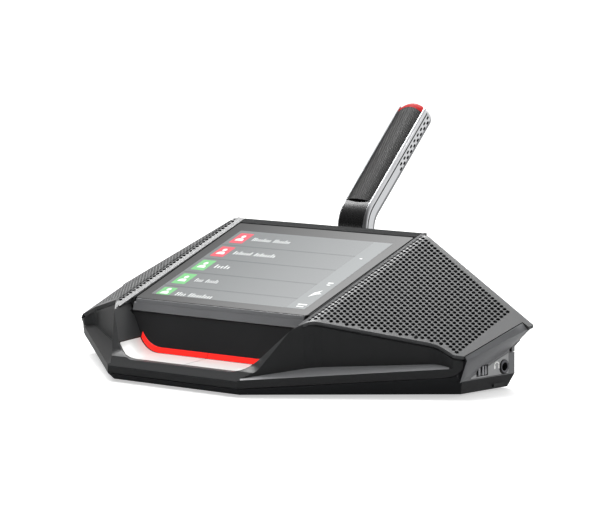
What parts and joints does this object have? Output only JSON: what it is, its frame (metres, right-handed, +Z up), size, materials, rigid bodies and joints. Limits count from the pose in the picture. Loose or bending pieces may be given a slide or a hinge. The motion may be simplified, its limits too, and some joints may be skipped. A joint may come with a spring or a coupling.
{
  "type": "conference delegate unit",
  "caption": "Table-top wedge housing with a tilted touch screen, perforated loudspeaker wings, a front button recess with light strips, and a leaning plug-in microphone on the rear deck.",
  "frame": {"origin": "middle of the plane that the feet stand on, midway between the body's front and rear faces", "axes": "+X to the user's right, +Y from the user towards the microphone, +Z up"},
  "size_m": [0.259, 0.1821, 0.1235],
  "materials": {
    "cover_plastic": "satin fine-grained moulding",
    "base_plastic": "satin fine-grained moulding",
    "grille_plastic": "satin, perforated",
    "inner_black": "plain",
    "panel_black": "glossy",
    "side_dark": "fine-grained",
    "screen_dark": "satin",
    "cover_glass": "polished, grey bezel print",
    "display_panel": "lit panel",
    "button_white": "glossy",
    "light_red": "translucent light guide",
    "mic_silver": "fine satin",
    "mic_black": "glossy",
    "mic_mesh": "fine black mesh",
    "board_green": "solder mask",
    "switch_black": "plain",
    "steel": "zinc plated",
    "magnet_steel": "plain",
    "paper_cone": "pressed paper",
    "capsule_metal": "plain",
    "foot_rubber": "soft",
    "jack_black": "plain",
    "wheel_grip": "ribbed grip",
    "socket_black": "plain"
  },
  "bodies": {
    "housing": {"base_housing": "base_plastic", "button_board": "board_green", "button_switch_left": "switch_black", "button_switch_right": "switch_black", "case_screws": "steel", "display_module": "display_panel", "grille_left": "grille_plastic", "grille_right": "grille_plastic", "headphone_jack_left": "jack_black", "headphone_jack_right": "jack_black", "led_strip_left": "light_red", "led_strip_right": "light_red", "main_board": "board_green", "mic_socket": "inner_black", "network_socket_left": "socket_black", "network_socket_right": "socket_black", "rear_plate": "socket_black", "recess_panel": "panel_black", "rubber_feet": "foot_rubber", "screen_housing": "screen_dark", "side_panel_left": "side_dark", "side_panel_right": "side_dark", "speaker_basket_left": "magnet_steel", "speaker_basket_right": "magnet_steel", "speaker_cone_left": "paper_cone", "speaker_cone_right": "paper_cone", "speaker_magnet_left": "magnet_steel", "speaker_magnet_right": "magnet_steel", "top_cover": "cover_plastic", "touch_glass": "cover_glass", "wheel_spindle_left": "inner_black", "wheel_spindle_right": "inner_black"},
    "button_left": {"mic_button_left": "button_white"},
    "button_right": {"mic_button_right": "button_white"},
    "wheel_left": {"volume_wheel_left": "wheel_grip"},
    "wheel_right": {"volume_wheel_right": "wheel_grip"},
    "microphone": {"mic_shell": "mic_silver", "mic_neck_cover": "mic_black", "mic_grille": "mic_mesh", "mic_light_ring": "light_red", "mic_plug": "inner_black", "mic_capsules": "capsule_metal"}
  },
  "joints": [
    {"name": "button_left_press", "type": "slide", "parent": "housing", "child": "button_left", "axis": [0, 0.0828, -0.9966], "range_m": [0, 0.0006], "stiffness_N_per_m": 800},
    {"name": "button_right_press", "type": "slide", "parent": "housing", "child": "button_right", "axis": [0, 0.0828, -0.9966], "range_m": [0, 0.0006], "stiffness_N_per_m": 800},
    {"name": "wheel_left_turn", "type": "hinge", "parent": "housing", "child": "wheel_left", "pos_m": [-0.1096, 0.0107, 0.011], "axis": [0, 0, 1], "continuous": true},
    {"name": "wheel_right_turn", "type": "hinge", "parent": "housing", "child": "wheel_right", "pos_m": [0.1096, 0.0107, 0.011], "axis": [0, 0, 1], "continuous": true},
    {"name": "microphone_lift", "type": "slide", "parent": "housing", "child": "microphone", "axis": [0, 0, 1], "range_m": [0, 0.03]}
  ]
}
